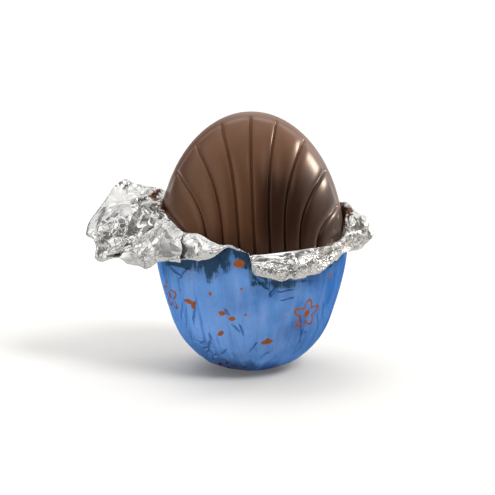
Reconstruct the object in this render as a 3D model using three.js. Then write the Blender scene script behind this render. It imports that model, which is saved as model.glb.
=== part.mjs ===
// A fluted chocolate egg standing in its half-peeled foil wrapper.
// Millimetres, +Z up. The open side of the foil faces -Y, and the origin is the middle of the small
// flat spot that the wrapped egg stands on.
import * as THREE from 'three';

// ---------------------------------------------------------------- driving dimensions

// the chocolate: an egg of revolution, widest at eggLevel
const eggRadius = 17.35;
const lowerHeight = 23.2; // from the widest level down to the natural, unflattened bottom
const upperHeight = 25.2; // from the widest level up to the top
const flatSag = 0.7; // how much of the bottom the flat spot takes off

// the foil: modelled thicker than real foil, so that it is a sound solid
const foilThickness = 0.3;
const foilGap = 0.3; // clear space between chocolate and foil

// the moulded fan of fingers, on the front half and mirrored on the back
const grooveDepth = 0.4;
const grooveHalfWidth = 0.5;
const fingerCrown = 0.15; // how far a finger's edges fall below its crest
const crownReach = 1.6; // and how far from its edges the crest begins
const fingerCorner = 1.1; // radius of a finger's rounded end
const grooveHeads = [-71, -54, -38, -20, 0, 16, 35, 53, 70]; // degrees from the top, along the seam
const grooveSpacing = 0.16; // at the widest level, as a share of the egg's radius
const grooveFlare = 3.3; // how late the grooves turn outwards on their way up
const fanLean = 0.85; // how far the fan's foot stands to the right of its head
const bandWidth = 3.5; // half of the plain band that runs along the seam

// colours
const chocolateColour = 0x4a2a1c;
const printedBlue = new THREE.Color(0x3f78c4);
const bareSilver = new THREE.Color(0xd9d8d4);

const standLevel = foilGap + foilThickness; // the chocolate's own flat spot
const eggLevel = standLevel - flatSag + lowerHeight;
const lastLine = (grooveHeads.length + 1) / 2; // this line of the fan is the seam itself

const radians = THREE.MathUtils.degToRad;
const clamp = THREE.MathUtils.clamp;
const lerp = THREE.MathUtils.lerp;
const smooth = (low, high, x) => THREE.MathUtils.smoothstep(x, low, high);

// ---------------------------------------------------------------- the egg's surface

// Vertical half axis that applies at a height.
const halfHeight = (z) => (z < eggLevel ? lowerHeight : upperHeight);

// The egg's width at a height, from 0 at its ends to 1 at the widest level.
function widthShare(z) {
  const rise = (z - eggLevel) / halfHeight(z);
  return Math.sqrt(Math.max(0, 1 - rise * rise));
}

function eggNormal(p) {
  const half = halfHeight(p.z);
  const square = eggRadius ** 2;
  return new THREE.Vector3(p.x / square, p.y / square, (p.z - eggLevel) / half ** 2).normalize();
}

// Moves a point of the egg's surface out by a distance, and keeps it off the flat spot's level there.
function offsetFromEgg(p, distance) {
  const moved = p.clone().addScaledVector(eggNormal(p), distance);
  moved.z = Math.max(moved.z, standLevel - distance);
  return moved;
}

// ---------------------------------------------------------------- the chocolate

// Where a line of the fan meets the seam, in degrees from the top.
function headAngle(line) {
  const heads = [-90, ...grooveHeads, 90];
  const below = Math.min(Math.floor(line + lastLine), heads.length - 2);
  return lerp(heads[below], heads[below + 1], line + lastLine - below);
}

// Where line number `line` of the fan crosses the egg at share `along` of its way from the bottom
// to the seam. Lines -5 and 5 are the seam, and the whole numbers between them are the grooves.
function fanPoint(line, along) {
  const sign = Math.sign(line);
  const side = Math.abs(line) / lastLine;
  const outer = side ** 8; // only the outermost finger widens to reach the seam
  const end = radians(headAngle(line));
  const low = eggRadius * (grooveSpacing * line + sign * (1 - grooveSpacing * lastLine) * outer);
  const high = eggRadius * Math.sin(end);
  const bottom = eggLevel - lowerHeight;
  const endRise = upperHeight * Math.cos(end);
  const z = bottom + ((eggLevel + endRise - bottom) * (1 - Math.cos(Math.PI * along))) / 2;
  const rise = Math.max(0, z - eggLevel);
  const reach = eggRadius * widthShare(z);
  const flare = Math.min(1, rise / endRise) ** grooveFlare;
  const upright = rise > 0 ? lerp(low, high, flare) : low * widthShare(z);
  const lean = fanLean * (1 - rise / upperHeight) ** 2 * widthShare(z) * (1 - side ** 2) * (1 - along ** 8);
  const x = clamp(upright + lean, -reach, reach);
  const depth = along === 1 || side === 1 ? 0 : Math.sqrt(Math.max(0, reach * reach - x * x));
  return new THREE.Vector3(x, -depth, z);
}

// How far the moulded surface lies below the plain egg. A finger stands between two grooves and has
// a rounded end towards the seam's plain band, which rises to the full size at the seam.
function fanRelief(line, along) {
  const p = fanPoint(line, along);
  const towardsSeam = smooth(0, bandWidth, -p.y);
  if (towardsSeam === 0) return 0;
  const nearest = clamp(Math.round(line), 1 - lastLine, lastLine - 1);
  const across = p.distanceTo(fanPoint(nearest, along));
  const toBand = -p.y - bandWidth;
  const away = new THREE.Vector2(Math.max(0, fingerCorner - across), Math.max(0, fingerCorner - toBand));
  const inside = away.x > 0 && away.y > 0 ? fingerCorner - away.length() : Math.min(across, toBand);
  const finger = smooth(0, grooveHalfWidth, inside);
  const crown = fingerCrown * (1 - smooth(0, crownReach, inside));
  return (grooveDepth * (1 - finger) + crown) * towardsSeam;
}

// Places across one finger, from groove to groove, closer together at the grooves' edges.
const fingerSteps = [0, 0.13, 0.3, 0.5, 0.7, 0.87];
const fanRows = 24;

function fanLines() {
  const lines = [];
  for (let groove = -lastLine; groove < lastLine; groove++) {
    for (const step of fingerSteps) lines.push(groove + step);
  }
  return [...lines, lastLine];
}

function chocolateGeometry() {
  const front = fanLines().map((line) =>
    Array.from({ length: fanRows + 1 }, (_, row) => {
      const along = row / fanRows;
      const p = offsetFromEgg(fanPoint(line, along), -fanRelief(line, along));
      p.z = Math.max(p.z, standLevel);
      return p;
    }),
  );
  const back = front.map((column) => column.map((p) => new THREE.Vector3(p.x, -p.y, p.z))).reverse();
  return solidFromQuads([...gridQuads(front), ...gridQuads(back)]);
}

// ---------------------------------------------------------------- the foil wrapper

// The sheet is followed at stations round the egg, in degrees from the front, positive to the right:
// where it stops hugging the egg and folds, and where its torn edge ends up. `turn` is the direction
// of that edge from the egg's axis, and `crumple` how strongly the peeled part is creased.
const stations = [
  { at: -180, fold: 27.5, turn: -180, reach: 17.9, edge: 30.0, crumple: 0.12 },
  { at: -155, fold: 27.8, turn: -155, reach: 17.8, edge: 30.8, crumple: 0.15 },
  { at: -136, fold: 28.6, turn: -134, reach: 17.7, edge: 31.6, crumple: 0.2 },
  { at: -122, fold: 30.0, turn: -113, reach: 17.7, edge: 32.4, crumple: 0.3 },
  { at: -114, fold: 30.8, turn: -100, reach: 18.8, edge: 33.8, crumple: 0.5 },
  { at: -107, fold: 31.3, turn: -95, reach: 21.6, edge: 34.0, crumple: 0.7 },
  { at: -100, fold: 31.6, turn: -92, reach: 24.5, edge: 35.7, crumple: 0.8 },
  { at: -93, fold: 31.6, turn: -90, reach: 26.8, edge: 33.2, crumple: 0.8 },
  { at: -87, fold: 31.4, turn: -88, reach: 28.3, edge: 30.0, crumple: 0.8 },
  { at: -81, fold: 31.1, turn: -86, reach: 30.5, edge: 26.6, crumple: 0.8 },
  { at: -76, fold: 30.8, turn: -84, reach: 28.9, edge: 24.4, crumple: 0.8 },
  { at: -70, fold: 30.3, turn: -82, reach: 28.6, edge: 20.3, crumple: 0.8 },
  { at: -65, fold: 29.9, turn: -79, reach: 25.0, edge: 21.7, crumple: 0.8 },
  { at: -60, fold: 29.4, turn: -74, reach: 22.7, edge: 20.6, crumple: 0.7 },
  { at: -55, fold: 28.9, turn: -68, reach: 21.0, edge: 20.1, crumple: 0.6 },
  { at: -50, fold: 28.3, turn: -58, reach: 20.0, edge: 21.6, crumple: 0.4 },
  { at: -45, fold: 27.8, turn: -45, reach: 18.9, edge: 22.7, crumple: 0.25 },
  { at: -33, fold: 27.9, turn: -33, reach: 18.8, edge: 23.7, crumple: 0.2 },
  { at: -21, fold: 26.6, turn: -21, reach: 18.7, edge: 24.7, crumple: 0.15 },
  { at: -13, fold: 25.6, turn: -13, reach: 18.5, edge: 25.8, crumple: 0.1 },
  { at: -5, fold: 24.6, turn: -5, reach: 18.5, edge: 24.9, crumple: 0.1 },
  { at: 0, fold: 24.1, turn: 0, reach: 18.7, edge: 23.4, crumple: 0.15 },
  { at: 5, fold: 23.8, turn: 5, reach: 19.1, edge: 20.6, crumple: 0.25 },
  { at: 15, fold: 24.0, turn: 15, reach: 19.4, edge: 19.2, crumple: 0.3 },
  { at: 30, fold: 24.4, turn: 30, reach: 19.4, edge: 19.7, crumple: 0.3 },
  { at: 44, fold: 24.6, turn: 44, reach: 19.3, edge: 20.5, crumple: 0.3 },
  { at: 57, fold: 24.8, turn: 57, reach: 19.1, edge: 22.0, crumple: 0.35 },
  { at: 70, fold: 25.3, turn: 73, reach: 19.5, edge: 22.8, crumple: 0.45 },
  { at: 80, fold: 26.4, turn: 83, reach: 20.6, edge: 23.4, crumple: 0.6 },
  { at: 90, fold: 27.6, turn: 89, reach: 22.4, edge: 25.6, crumple: 0.6 },
  { at: 100, fold: 28.8, turn: 94, reach: 20.6, edge: 28.6, crumple: 0.5 },
  { at: 112, fold: 29.0, turn: 106, reach: 18.5, edge: 30.2, crumple: 0.3 },
  { at: 130, fold: 28.4, turn: 130, reach: 17.9, edge: 30.8, crumple: 0.2 },
  { at: 155, fold: 27.6, turn: 155, reach: 17.9, edge: 29.9, crumple: 0.15 },
];

const hugDistance = foilGap + foilThickness / 2; // the middle of the foil, off the chocolate
const foldLift = 1.5; // how steeply the sheet leaves the egg before it turns over
const foldBow = 1.2; // how far the peeled part bows out and up between the fold and the torn edge
const beadSize = 0.5; // swelling of the crumpled roll along the front edge
const beadPlace = 0.72; // where on the peeled part it lies
const beadWidth = 0.2; // and how wide it is there
const collarRows = 9; // rows up the part that hugs the egg
const peelRows = 9; // rows along the part that is peeled back
const steadyHeight = 15; // up to here the rows are level
const steadyShare = 0.6; // and they take up this much of the hugging part
const edgeTear = 0.25; // how far the torn edge strays up and down
const creaseAngle = 6; // degrees between creases round the egg
const creaseCount = 4.5; // creases from the fold to the torn edge

// A station value at any angle, by a smooth curve through the stations that closes on itself.
function stationValue(key, angle) {
  const count = stations.length;
  const value = (i) => {
    const lap = Math.floor(i / count);
    const station = stations[i - lap * count];
    const turned = key === 'at' || key === 'turn' ? lap * 360 : 0;
    return station[key] + turned;
  };
  const place = (i) => stations[((i % count) + count) % count].at + Math.floor(i / count) * 360;
  let i = 0;
  while (place(i + 1) <= angle) i++;
  const span = place(i + 1) - place(i);
  const slope = (k) => ((value(k + 1) - value(k - 1)) / (place(k + 1) - place(k - 1))) * span;
  const t = (angle - place(i)) / span;
  const [h00, h10] = [(1 + 2 * t) * (1 - t) ** 2, t * (1 - t) ** 2];
  const [h01, h11] = [t * t * (3 - 2 * t), t * t * (t - 1)];
  return h00 * value(i) + h10 * slope(i) + h01 * value(i + 1) + h11 * slope(i + 1);
}

// A fixed random number from -1 to 1 for each point of a lattice.
function latticeValue(i, j) {
  const wave = Math.sin(i * 127.1 + j * 311.7) * 43758.5453;
  return 2 * (wave - Math.floor(wave)) - 1;
}

// Flat triangular facets over that lattice, which is what creased foil looks like.
function facets(a, b) {
  const [i, j] = [Math.floor(a), Math.floor(b)];
  const [s, t] = [a - i, b - j];
  const corner = latticeValue(i, j);
  const opposite = latticeValue(i + 1, j + 1);
  if (s > t) {
    const beside = latticeValue(i + 1, j);
    return corner + s * (beside - corner) + t * (opposite - beside);
  }
  const above = latticeValue(i, j + 1);
  return corner + t * (above - corner) + s * (opposite - above);
}

const direction = (angle) => new THREE.Vector3(Math.sin(radians(angle)), -Math.cos(radians(angle)), 0);

// The part of the sheet that hugs the egg, at a share of the way from the bottom to the fold.
function huggingPoint(angle, share) {
  const level = (z) => Math.acos(clamp((eggLevel - z) / halfHeight(z), -1, 1));
  const steady = level(steadyHeight);
  const fold = level(stationValue('fold', angle));
  const above = (share - steadyShare) / (1 - steadyShare);
  const polar = above < 0 ? (steady * share) / steadyShare : lerp(steady, fold, above);
  const half = polar < Math.PI / 2 ? lowerHeight : upperHeight;
  const p = direction(angle).multiplyScalar(eggRadius * Math.sin(polar));
  p.z = eggLevel - half * Math.cos(polar);
  return p;
}

// The peeled part, at a share of the way from the fold to the torn edge: out over the fold and on
// to the edge, with the crumpled roll near the end of the front band.
function peeledPoint(angle, share) {
  const start = offsetFromEgg(huggingPoint(angle, 1), hugDistance);
  const outwards = direction(stationValue('turn', angle));
  const end = outwards.clone().multiplyScalar(stationValue('reach', angle));
  end.z = stationValue('edge', angle) + edgeTear * latticeValue(Math.round(angle), 7);
  const rise = start.clone();
  rise.z += foldLift;
  const over = start.clone().lerp(end, 0.5).addScaledVector(outwards, foldBow);
  over.z += foldBow;
  const p = new THREE.CubicBezierCurve3(start, rise, over, end).getPoint(share);
  const swelling = beadSize * Math.exp(-(((share - beadPlace) / beadWidth) ** 2));
  return p.addScaledVector(outwards, swelling * smooth(-2, 8, angle) * (1 - smooth(75, 95, angle)));
}

function sheetPoint(angle, along) {
  if (along <= 1) return offsetFromEgg(huggingPoint(angle, along), hugDistance);
  return peeledPoint(angle, along - 1);
}

function sheetNormal(angle, along) {
  const step = 0.02;
  const round = sheetPoint(angle + 1, along).sub(sheetPoint(angle - 1, along));
  const up = sheetPoint(angle, along + step).sub(sheetPoint(angle, along - step));
  return round.cross(up).normalize();
}

// Columns round the egg: close together where the sheet is peeled, wider apart behind.
function foilAngles() {
  const angles = [];
  for (let a = -180; a < 180; a += a >= -126 && a < -44 ? 2 : a >= -44 && a < 112 ? 3 : 6) angles.push(a);
  return angles;
}

function foilGeometry() {
  const rows = collarRows + peelRows;
  const sides = foilAngles().map((angle) => {
    const [outer, inner] = [[], []];
    for (let row = 1; row <= rows; row++) {
      const along = row <= collarRows ? row / collarRows : 1 + (row - collarRows) / peelRows;
      if (along <= 1) {
        const p = huggingPoint(angle, along);
        outer.push(offsetFromEgg(p, foilGap + foilThickness));
        inner.push(offsetFromEgg(p, foilGap));
        continue;
      }
      const fade = smooth(1.1, 1.5, along);
      const [a, b] = [angle / creaseAngle, along * creaseCount];
      const creases = facets(a, b) + 0.5 * facets(2 * a, 2 * b);
      const crease = stationValue('crumple', angle) * fade * creases;
      const normal = sheetNormal(angle, along);
      const p = sheetPoint(angle, along).addScaledVector(normal, crease);
      outer.push(p.clone().addScaledVector(normal, foilThickness / 2));
      inner.push(p.clone().addScaledVector(normal, -foilThickness / 2));
    }
    return [outer, inner];
  });
  const closed = [...sides, sides[0]];
  const pole = (z) => new THREE.Vector3(0, 0, z);
  const outerGrid = closed.map(([outer]) => [pole(0), ...outer]);
  const innerGrid = closed.map(([, inner]) => [pole(foilThickness), ...inner]);
  const rim = closed.map(([outer, inner]) => [outer[rows - 1], inner[rows - 1]]);
  const flip = (quads) => quads.map((quad) => [...quad].reverse());
  const outerQuads = [...gridQuads(outerGrid), ...gridQuads(rim)];
  return solidFromQuads(outerQuads, flip(gridQuads(innerGrid)));
}

// ---------------------------------------------------------------- quads to geometry

// The quads of a grid of columns, each with its corners in anticlockwise order seen from outside.
function gridQuads(columns) {
  const quads = [];
  for (let c = 0; c + 1 < columns.length; c++) {
    for (let r = 0; r + 1 < columns[c].length; r++) {
      quads.push([columns[c][r], columns[c + 1][r], columns[c + 1][r + 1], columns[c][r + 1]]);
    }
  }
  return quads;
}

// Triangles from quads, without those that a pole has shrunk to a line. A second set of quads is
// coloured as the bare side of the foil.
function solidFromQuads(quads, bareQuads = []) {
  const [positions, colours] = [[], []];
  const put = (corners, colour) => {
    const [a, b, c] = corners;
    if (a.distanceTo(b) < 1e-4 || b.distanceTo(c) < 1e-4 || c.distanceTo(a) < 1e-4) return;
    for (const p of corners) {
      positions.push(p.x, p.y, p.z);
      colours.push(colour.r, colour.g, colour.b);
    }
  };
  const split = (set, colour) => {
    for (const [a, b, c, d] of set) {
      put([a, b, c], colour);
      put([a, c, d], colour);
    }
  };
  split(quads, bareQuads.length ? printedBlue : new THREE.Color(0xffffff));
  split(bareQuads, bareSilver);
  const geometry = new THREE.BufferGeometry();
  geometry.setAttribute('position', new THREE.Float32BufferAttribute(positions, 3));
  geometry.setAttribute('color', new THREE.Float32BufferAttribute(colours, 3));
  geometry.computeVertexNormals();
  return geometry;
}

// ---------------------------------------------------------------- the object

const chocolateMaterial = new THREE.MeshStandardMaterial({
  color: chocolateColour,
  roughness: 0.35,
  metalness: 0,
});

const foilMaterial = new THREE.MeshStandardMaterial({
  color: 0xffffff,
  vertexColors: true,
  roughness: 0.3,
  metalness: 0.9,
});

function part(name, geometry, material) {
  const mesh = new THREE.Mesh(geometry, material);
  mesh.name = name;
  return mesh;
}

const wrappedEgg = new THREE.Group();
wrappedEgg.name = 'wrapped_egg';
wrappedEgg.add(part('chocolate_egg', chocolateGeometry(), chocolateMaterial));
wrappedEgg.add(part('foil_wrapper', foilGeometry(), foilMaterial));

export default wrappedEgg;
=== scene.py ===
# A fluted chocolate egg standing in its torn, peeled-back foil wrapper.
# Metres, +Z up, the peeled side towards -Y. Sizes and angles below are in millimetres and degrees.

import math

import bmesh
import bpy
from mathutils import Matrix, Vector, noise


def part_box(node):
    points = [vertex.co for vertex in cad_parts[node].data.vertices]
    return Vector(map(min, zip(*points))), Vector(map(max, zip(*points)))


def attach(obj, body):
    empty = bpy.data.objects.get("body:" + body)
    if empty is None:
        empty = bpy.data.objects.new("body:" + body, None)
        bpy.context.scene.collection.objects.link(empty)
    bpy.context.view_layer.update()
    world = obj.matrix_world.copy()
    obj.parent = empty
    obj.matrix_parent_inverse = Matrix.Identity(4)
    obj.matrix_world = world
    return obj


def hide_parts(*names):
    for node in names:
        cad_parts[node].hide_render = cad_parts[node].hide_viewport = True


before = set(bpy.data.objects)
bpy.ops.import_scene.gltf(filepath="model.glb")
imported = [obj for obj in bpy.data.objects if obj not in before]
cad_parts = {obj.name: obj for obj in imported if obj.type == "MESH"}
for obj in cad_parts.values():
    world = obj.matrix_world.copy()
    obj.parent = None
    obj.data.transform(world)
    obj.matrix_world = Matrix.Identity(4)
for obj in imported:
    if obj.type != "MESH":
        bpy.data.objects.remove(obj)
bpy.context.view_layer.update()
mm = 0.001


# small helpers

def clamp(value, low=0.0, high=1.0):
    return max(low, min(high, value))


def mix(a, b, share):
    return a + (b - a) * share


def smooth(low, high, value):
    t = clamp((value - low) / (high - low))
    return t * t * (3 - 2 * t)


def within(value, start, full, fading, end):
    # 0 up to start, 1 from full to fading, and 0 again from end on
    return smooth(start, full, value) * (1 - smooth(fading, end, value))


def outwards(angle):
    # level direction at an angle round the egg: 0 is the front, positive to the right
    return Vector((math.sin(math.radians(angle)), -math.cos(math.radians(angle)), 0))


def addObject(name, data):
    thing = bpy.data.objects.new(name, data)
    bpy.context.scene.collection.objects.link(thing)
    return thing


def finishPiece(name, bm, materials, node):
    # a finished mesh becomes a piece of the object, in the place of its plain solid
    mesh = bpy.data.meshes.new(name)
    bm.to_mesh(mesh)
    bm.free()
    for face in mesh.polygons:
        face.use_smooth = True
    piece = addObject(name, mesh)
    for material in materials:
        mesh.materials.append(material)
    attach(piece, "root")
    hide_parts(node)
    return piece


# helpers for materials, in which a value is a fixed one or another node's output

def newMaterial(name):
    material = bpy.data.materials.new(name)
    material.use_nodes = True
    return material, material.node_tree, material.node_tree.nodes["Principled BSDF"]


def addNode(tree, kind, **settings):
    node = tree.nodes.new(kind)
    for key, value in settings.items():
        setattr(node, key, value)
    return node


def feed(tree, node, inputs):
    for key, value in inputs.items():
        if isinstance(value, bpy.types.NodeSocket):
            tree.links.new(value, node.inputs[key])
        else:
            node.inputs[key].default_value = value


def objectPlace(tree):
    return addNode(tree, "ShaderNodeTexCoord").outputs["Object"]


def axes(tree, place):
    # the three coordinates of a place, as ["X"], ["Y"] and ["Z"]
    node = addNode(tree, "ShaderNodeSeparateXYZ")
    feed(tree, node, {"Vector": place})
    return node.outputs


def meshValue(tree, name):
    # what a layer of the mesh says at each place
    return addNode(tree, "ShaderNodeAttribute", attribute_name=name).outputs["Fac"]


def calculate(tree, operation, *values, clampIt=False):
    node = addNode(tree, "ShaderNodeMath", operation=operation, use_clamp=clampIt)
    feed(tree, node, dict(enumerate(values)))
    return node.outputs[0]


def vectorMath(tree, operation, *values, output="Vector"):
    node = addNode(tree, "ShaderNodeVectorMath", operation=operation)
    feed(tree, node, dict(enumerate(values)))
    return node.outputs[output]


def rangeOf(tree, value, low, high, start=0, end=1, kind="LINEAR"):
    # goes from start to end as the value goes from low to high
    node = addNode(tree, "ShaderNodeMapRange", interpolation_type=kind)
    feed(tree, node, {"Value": value, "From Min": low, "From Max": high, "To Min": start, "To Max": end})
    return node.outputs["Result"]


def fadeBetween(tree, length, low, high, start=0, end=1):
    # the same, but softly, and low and high are lengths in the drawing (mm)
    return rangeOf(tree, length, low * mm, high * mm, start, end, "SMOOTHSTEP")


def noiseAt(tree, place, scale, detail=2, output="Fac", **more):
    node = addNode(tree, "ShaderNodeTexNoise")
    feed(tree, node, {"Vector": place, "Scale": scale, "Detail": detail, **more})
    return node.outputs[output]


def cellsAt(tree, place, scale, feature):
    node = addNode(tree, "ShaderNodeTexVoronoi", feature=feature)
    feed(tree, node, {"Vector": place, "Scale": scale})
    return node.outputs


def drawnUp(tree, place, squeeze):
    # coordinates squeezed upright, so that a pattern in them comes out drawn up
    mapping = addNode(tree, "ShaderNodeMapping")
    feed(tree, mapping, {"Vector": place, "Scale": (1, 1, squeeze)})
    return mapping.outputs["Vector"]


def mixColours(tree, share, first, second):
    node = addNode(tree, "ShaderNodeMix", data_type="RGBA")
    feed(tree, node, {"Factor": share, "A": first, "B": second})
    return node.outputs["Result"]


def bumpOf(tree, height, strength, distance):
    node = addNode(tree, "ShaderNodeBump")
    feed(tree, node, {"Height": height, "Strength": strength, "Distance": distance})
    return node.outputs["Normal"]


# the chocolate egg

eggLow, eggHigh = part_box("chocolate_egg")

egg = {
    "radius": (eggHigh.x - eggLow.x) / 2 / mm,
    "top": eggHigh.z / mm,
    "foot": eggLow.z / mm,          # its own flat spot
    "upperHeight": 25.2,            # widest level to the top
    "lowerHeight": 23.2,            # widest level to the bottom before it is flattened
    "grooveHeads": [-72, -54.5, -37.5, -19.5, -0.5, 16, 35, 53.5, 70.5],  # degrees from the top
    "grooveSpacing": 0.162,         # at the widest level, as a share of the radius
    "grooveFlare": 3.3,             # how late the grooves turn outwards
    "grooveDepth": 0.38,
    "grooveHalfWidth": 0.4,
    "grooveEnd": (-1.1, 0.4),       # over this they run out at the plain band
    "fingerCrown": 0.32,            # how far a finger's edges fall below its crest
    "crownReach": 1.9,              # and how far in from them the crest begins
    "endCrown": 0.55,               # the share of that fall at the fingers' ends
    "fingerCorner": 1.3,            # radius of the fingers' rounded ends
    "fanLean": 0.8,                 # the fan's foot stands this far to the right
    "plainBand": 3.3,               # half of the plain band along the seam
    "seamRidge": 0.05,
    "seamHalfWidth": 0.16,
    "stepsPerFinger": 18,
    "crowding": 0.11,               # of the mesh's columns at the grooves
    "rows": 190,
    "mergeWithin": 0.004,
}
eggLevel = egg["top"] - egg["upperHeight"]
lastLine = 5                        # the fan's lines run from -5 to 5, and those two are the seam


def halfHeight(z):
    return egg["lowerHeight"] if z < eggLevel else egg["upperHeight"]


def widthShare(z):
    rise = (z - eggLevel) / halfHeight(z)
    return math.sqrt(max(0.0, 1 - rise * rise))


def eggNormal(p):
    square = egg["radius"] ** 2
    return Vector((p.x / square, p.y / square, (p.z - eggLevel) / halfHeight(p.z) ** 2)).normalized()


def offsetFromEgg(p, distance):
    moved = p + eggNormal(p) * distance
    moved.z = max(moved.z, egg["foot"] - distance)
    return moved


def headAngle(line):
    # degrees from the top at which a line of the fan meets the seam
    heads = [-90] + egg["grooveHeads"] + [90]
    place = clamp(line + lastLine, 0, 2 * lastLine - 1e-9)
    below = int(place)
    return mix(heads[below], heads[below + 1], place - below)


def fanPoint(line, along):
    # where a line of the fan crosses the egg, at a share of its way from the bottom to the seam
    sign = math.copysign(1, line)
    side = abs(line) / lastLine
    outer = side ** 8               # only the outermost finger widens to reach the seam
    end = math.radians(headAngle(line))
    spacing = egg["grooveSpacing"]
    low = egg["radius"] * (spacing * line + sign * (1 - spacing * lastLine) * outer)
    high = egg["radius"] * math.sin(end)
    bottom = eggLevel - egg["lowerHeight"]
    endRise = egg["upperHeight"] * math.cos(end)
    z = bottom + (eggLevel + endRise - bottom) * (1 - math.cos(math.pi * along)) / 2
    rise = max(0.0, z - eggLevel)
    reach = egg["radius"] * widthShare(z)
    if rise > 0:
        upright = mix(low, high, min(1.0, rise / max(endRise, 1e-6)) ** egg["grooveFlare"])
    else:
        upright = low * widthShare(z)
    fade = (1 - rise / egg["upperHeight"]) ** 2 * widthShare(z) * (1 - side ** 2) * (1 - along ** 8)
    x = clamp(upright + egg["fanLean"] * fade, -reach, reach)
    onSeam = along > 1 - 1e-9 or side > 1 - 1e-9
    depth = 0.0 if onSeam else math.sqrt(max(0.0, reach * reach - x * x))
    return Vector((x, -depth, z))


def fanRelief(line, along):
    # how far the moulded surface lies below the plain egg
    p = fanPoint(line, along)
    seam = egg["seamRidge"] * math.exp(-(p.y / egg["seamHalfWidth"]) ** 2)
    nearest = clamp(round(line), 1 - lastLine, lastLine - 1)
    across = (p - fanPoint(nearest, along)).length
    toBand = -p.y - egg["plainBand"]
    corner = egg["fingerCorner"]
    if across < corner and toBand < corner:
        inside = corner - math.hypot(corner - across, corner - toBand)
    else:
        inside = min(across, toBand)
    groove = (1 - smooth(0, egg["grooveHalfWidth"], across)) * smooth(*egg["grooveEnd"], toBand)
    crown = (1 - min(1, max(0, inside) / egg["crownReach"])) ** 2
    sunk = smooth(0.2, egg["plainBand"], -p.y) * mix(egg["endCrown"], 1, smooth(0, 2, toBand))
    return egg["grooveDepth"] * groove + egg["fingerCrown"] * crown * sunk - seam


def lineAt(share):
    # the line of the fan for a column of the mesh, at a share of the way across it
    place = share * 2 * lastLine
    finger = math.floor(place + 1e-9)
    t = place - finger
    crowded = t - egg["crowding"] * math.sin(2 * math.pi * t)
    return finger + crowded - lastLine


def buildEgg():
    bm = bmesh.new()
    columns = egg["stepsPerFinger"] * 2 * lastLine
    bmesh.ops.create_grid(bm, x_segments=columns, y_segments=egg["rows"], size=0.5)
    for v in bm.verts:
        line = lineAt(v.co.x + 0.5)
        along = v.co.y + 0.5
        p = offsetFromEgg(fanPoint(line, along), -fanRelief(line, along))
        v.co = p * mm
    mergeWithin = egg["mergeWithin"] * mm
    bmesh.ops.mirror(bm, geom=bm.verts[:] + bm.edges[:] + bm.faces[:], axis="Y", merge_dist=mergeWithin)
    bmesh.ops.remove_doubles(bm, verts=bm.verts, dist=mergeWithin)
    bmesh.ops.recalc_face_normals(bm, faces=bm.faces)
    return bm


chocolateLook = {
    "milk": (0.15, 0.066, 0.033, 1),
    # the dark colour comes in a little with the random clouds and much more with the painted shade
    "dark": (0.04, 0.0155, 0.0083, 1),
    "clouds": 120,                  # soft blotches of more milk, per metre
    # painted shade: its front is darker at the right, close to the foil and, less so, at the far left
    "across": (-1, 3.2),            # between these (mm) it fades, and so on
    "downwards": (43.5, 35.5),
    "forwards": (2, -6),
    "foilwards": (31.5, 25.5),
    "foilShare": 0.8,
    "leftwards": (-9.5, -14.5),
    "leftShare": 0.4,
    "shadeStrength": 0.95,              # how much of the milk this painted shade takes away
    "roughness": (0.24, 0.36),
    "sheen": (1, 0.71, 0.53, 1),    # its gloss is a little warm
    "indexOfRefraction": 1.33,
    "grain": 900,                   # fine skin, per metre
    "grainDepth": 0.1,
    "grainStrength": 0.05,
}


def chocolateMaterial():
    material, tree, skin = newMaterial("mouldedChocolate")
    look = chocolateLook
    place = objectPlace(tree)
    at = axes(tree, place)
    across = fadeBetween(tree, at["X"], *look["across"])
    downwards = fadeBetween(tree, at["Z"], *look["downwards"])
    forwards = fadeBetween(tree, at["Y"], *look["forwards"])
    foilwards = fadeBetween(tree, at["Z"], *look["foilwards"], 0, look["foilShare"])
    leftwards = fadeBetween(tree, at["X"], *look["leftwards"], 0, look["leftShare"])
    # painted shade on the front: darker at the right, close to the foil and at the far left
    paintedShade = calculate(tree, "MAXIMUM", foilwards, calculate(tree, "MULTIPLY", across, downwards))
    paintedShade = calculate(tree, "MAXIMUM", paintedShade, leftwards)
    paintedShade = calculate(tree, "MULTIPLY", paintedShade, forwards)
    paler = calculate(tree, "MULTIPLY_ADD", noiseAt(tree, place, look["clouds"], 3), 0.5, 0.65)
    paler = calculate(tree, "MULTIPLY_ADD", paintedShade, -look["shadeStrength"], paler, clampIt=True)
    grain = noiseAt(tree, place, look["grain"], 4)
    feed(tree, skin, {
        "Base Color": mixColours(tree, paler, look["dark"], look["milk"]),
        "Roughness": rangeOf(tree, grain, 0, 1, *look["roughness"]),
        "Normal": bumpOf(tree, grain, look["grainStrength"], look["grainDepth"] * mm),
        "IOR": look["indexOfRefraction"],
        "Specular Tint": look["sheen"],
    })
    return material


finishPiece("chocolateEgg", buildEgg(), [chocolateMaterial()], "chocolate_egg")
print("chocolate egg done")


# the foil wrapper: one sheet from under the egg, up its side, over the fold and out to the torn edge

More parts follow.
